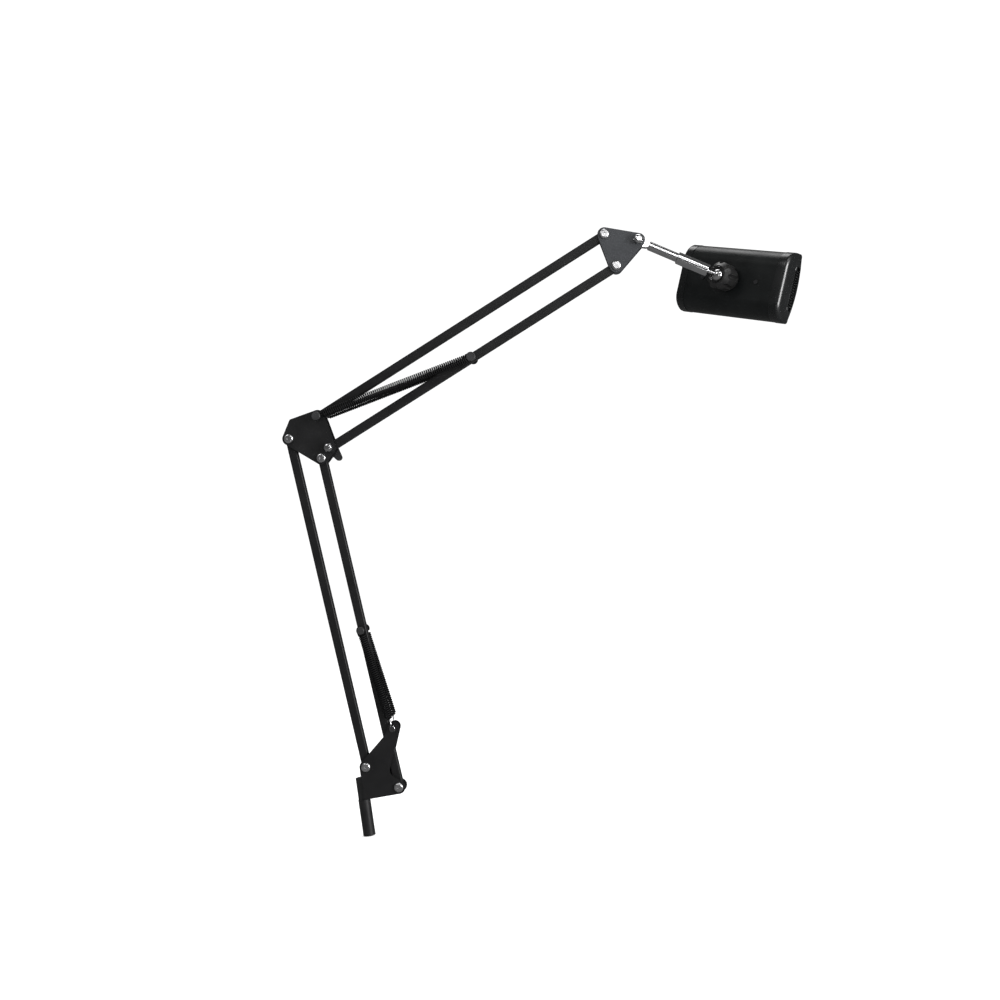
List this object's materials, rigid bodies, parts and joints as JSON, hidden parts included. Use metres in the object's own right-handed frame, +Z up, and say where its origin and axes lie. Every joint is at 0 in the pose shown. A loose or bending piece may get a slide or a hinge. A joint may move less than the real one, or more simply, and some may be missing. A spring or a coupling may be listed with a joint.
{
  "type": "architect desk lamp",
  "caption": "Black spring-balanced twin-bar architect desk lamp arm with a ball-jointed oval LED head, on a round pin for a clamp.",
  "frame": {"origin": "centre of the lower end of the round mounting post", "axes": "+Z up the post, +X the way the arm reaches, so every arm pivot runs along Y"},
  "size_m": [0.5223, 0.0985, 0.551],
  "materials": {
    "black_steel": "satin black powder coat",
    "bar_steel": "satin black powder coat",
    "satin_plate": "satin black with a faint blue cast",
    "bright_steel": "bright turned steel",
    "plated_bolts": "bright plated",
    "plated_nuts": "bright plated",
    "chrome": "polished",
    "nylon": "black nylon",
    "black_bobbin": "moulded black",
    "lever_plastic": "moulded black",
    "spring_wire": "black spring steel",
    "collar_plastic": "semi-gloss black",
    "housing_aluminium": "satin black anodised",
    "cap_plastic": "satin black",
    "lens_plastic": "opal diffuser",
    "spreader_aluminium": "mill finish",
    "board": "white solder mask",
    "led": "phosphor yellow",
    "inlet_metal": "black with a plated barrel",
    "dark_screw": "black oxide",
    "button_plastic": "satin black"
  },
  "bodies": {
    "base": {"post": "black_steel", "base_plate_right": "black_steel", "base_plate_left": "black_steel", "post_rivets": "bright_steel", "base_bolts": "plated_bolts", "base_nuts": "plated_nuts", "base_spring_studs": "black_bobbin"},
    "lower_back": {"lower_back_bar": "bar_steel", "lower_back_bushes": "nylon"},
    "lower_front": {"lower_front_bar": "bar_steel", "lower_front_bushes": "nylon", "lower_spring_pin": "bright_steel", "lower_spring_bobbins": "black_bobbin"},
    "elbow": {"elbow_plate_right": "black_steel", "elbow_plate_left": "black_steel", "elbow_bolts": "plated_bolts", "elbow_nuts": "plated_nuts", "elbow_spring_pin": "bright_steel", "elbow_spring_bobbins": "black_bobbin", "elbow_lock_bolt": "bright_steel", "elbow_dome_nut": "chrome"},
    "lever": {"elbow_lever": "lever_plastic"},
    "upper_top": {"upper_top_bar": "bar_steel", "upper_top_bushes": "nylon"},
    "upper_bottom": {"upper_bottom_bar": "bar_steel", "upper_bottom_bushes": "nylon", "upper_spring_pin": "bright_steel", "upper_spring_bobbins": "black_bobbin", "upper_spring_right": "spring_wire", "upper_spring_left": "spring_wire"},
    "upper_tail": {"upper_spring_ends": "spring_wire"},
    "upper_hooks": {"upper_spring_hooks": "spring_wire"},
    "lower_coils": {"lower_spring_right": "spring_wire", "lower_spring_left": "spring_wire"},
    "lower_tail": {"lower_spring_ends": "spring_wire"},
    "lower_hooks": {"lower_spring_hooks": "chrome"},
    "yoke": {"yoke_plate_right": "satin_plate", "yoke_plate_left": "satin_plate", "yoke_bolts": "plated_bolts", "yoke_nuts": "plated_nuts", "tilt_bolt": "plated_bolts", "tilt_dome_nut": "chrome"},
    "stem": {"stem_eye": "chrome", "stem_tube": "chrome"},
    "sleeve": {"stem_sleeve": "chrome", "ball_stud": "chrome"},
    "seat": {"ball_seat": "nylon"},
    "head": {"socket_stub": "collar_plastic", "housing": "housing_aluminium", "end_cap_right": "cap_plastic", "end_cap_left": "cap_plastic", "diffuser_lens": "lens_plastic", "heat_spreader": "spreader_aluminium", "led_board": "board", "leds": "led", "driver_board": "board", "power_inlet": "inlet_metal", "head_screws": "dark_screw"},
    "collar": {"collar_nut": "collar_plastic"},
    "button": {"power_button": "button_plastic"}
  },
  "joints": [
    {"name": "lower_arm", "type": "hinge", "parent": "base", "child": "lower_back", "pos_m": [0.00745, 0, 0.0669], "axis": [0, 1, 0], "range_deg": [-5, 45]},
    {"name": "lower_front_follow", "type": "hinge", "parent": "base", "child": "lower_front", "pos_m": [0.03665, 0, 0.0433], "axis": [0, 1, 0], "range_deg": [-5.4, 45.4]},
    {"name": "elbow_level", "type": "hinge", "parent": "lower_back", "child": "elbow", "pos_m": [-0.02154, 0, 0.39562], "axis": [0, 1, 0], "range_deg": [-45.4, 5.4]},
    {"name": "elbow_lock", "type": "hinge", "parent": "elbow", "child": "lever", "pos_m": [0.01676, 0, 0.38097], "axis": [0, 1, 0], "range_deg": [-90, 0]},
    {"name": "upper_arm", "type": "hinge", "parent": "elbow", "child": "upper_top", "pos_m": [0.00976, 0, 0.41282], "axis": [0, 1, 0], "range_deg": [-25, 25]},
    {"name": "upper_bottom_follow", "type": "hinge", "parent": "elbow", "child": "upper_bottom", "pos_m": [0.01676, 0, 0.38097], "axis": [0, 1, 0], "range_deg": [-25.4, 25.4]},
    {"name": "yoke_level", "type": "hinge", "parent": "upper_top", "child": "yoke", "pos_m": [0.31239, 0, 0.54441], "axis": [0, 1, 0], "range_deg": [-25.4, 25.4]},
    {"name": "stem_tilt", "type": "hinge", "parent": "yoke", "child": "stem", "pos_m": [0.34379, 0, 0.53361], "axis": [0, 1, 0], "range_deg": [-60, 45]},
    {"name": "stem_swivel", "type": "hinge", "parent": "stem", "child": "sleeve", "pos_m": [0.34379, 0, 0.53361], "axis": [0.8453, 0, -0.5344], "range_deg": [-170, 170]},
    {"name": "ball_tilt", "type": "hinge", "parent": "sleeve", "child": "seat", "pos_m": [0.41496, 0, 0.48862], "axis": [-0.5209, 0.2227, -0.824], "range_deg": [0, 104]},
    {"name": "head_spin", "type": "hinge", "parent": "seat", "child": "head", "pos_m": [0.41496, 0, 0.48862], "axis": [-0.6055, -0.7768, 0.1728], "range_deg": [-170, 170]},
    {"name": "collar_screw", "type": "hinge", "parent": "head", "child": "collar", "pos_m": [0.41496, 0, 0.48862], "axis": [-0.6055, -0.7768, 0.1728], "range_deg": [0, 120]},
    {"name": "button_press", "type": "slide", "parent": "head", "child": "button", "axis": [0.7124, -0.6259, -0.3173], "range_m": [0, 0.001], "stiffness_N_per_m": 400},
    {"name": "lower_spring_swing", "type": "hinge", "parent": "lower_front", "child": "lower_coils", "pos_m": [0.02286, 0, 0.19969], "axis": [0, 1, 0], "range_deg": [-3.04, 24.13]},
    {"name": "lower_spring_stretch", "type": "slide", "parent": "lower_coils", "child": "lower_tail", "axis": [0.1676, 0, -0.9859], "range_m": [-0.00152, 0.0113], "deforming": ["lower_spring_right", "lower_spring_left", "lower_spring_ends"]},
    {"name": "lower_hook_swing", "type": "hinge", "parent": "base", "child": "lower_hooks", "pos_m": [0.0396, 0, 0.1012], "axis": [0, 1, 0], "range_deg": [-8.04, 69.13]},
    {"name": "upper_spring_stretch", "type": "slide", "parent": "upper_bottom", "child": "upper_tail", "axis": [-0.9778, 0, -0.2096], "range_m": [-0.01422, 0.01422], "deforming": ["upper_spring_right", "upper_spring_left", "upper_spring_ends"]},
    {"name": "upper_hook_swing", "type": "hinge", "parent": "elbow", "child": "upper_hooks", "pos_m": [0.00976, 0, 0.41282], "axis": [0, 1, 0], "range_deg": [-25.44, 25.44]}
  ],
  "couplings": [
    {"joint": "lower_front_follow", "follows": "lower_arm", "ratio": 1},
    {"joint": "elbow_level", "follows": "lower_arm", "ratio": -1},
    {"joint": "upper_bottom_follow", "follows": "upper_arm", "ratio": 1},
    {"joint": "yoke_level", "follows": "upper_arm", "ratio": -1},
    {"joint": "lower_spring_swing", "follows": "lower_arm", "ratio": 0.5274},
    {"joint": "lower_spring_stretch", "follows": "lower_arm", "m_per_rad": 0.01401},
    {"joint": "lower_hook_swing", "follows": "lower_arm", "ratio": 1.5274},
    {"joint": "upper_spring_stretch", "follows": "upper_arm", "m_per_rad": 0.0319},
    {"joint": "upper_hook_swing", "follows": "upper_arm", "ratio": 1.0016}
  ]
}
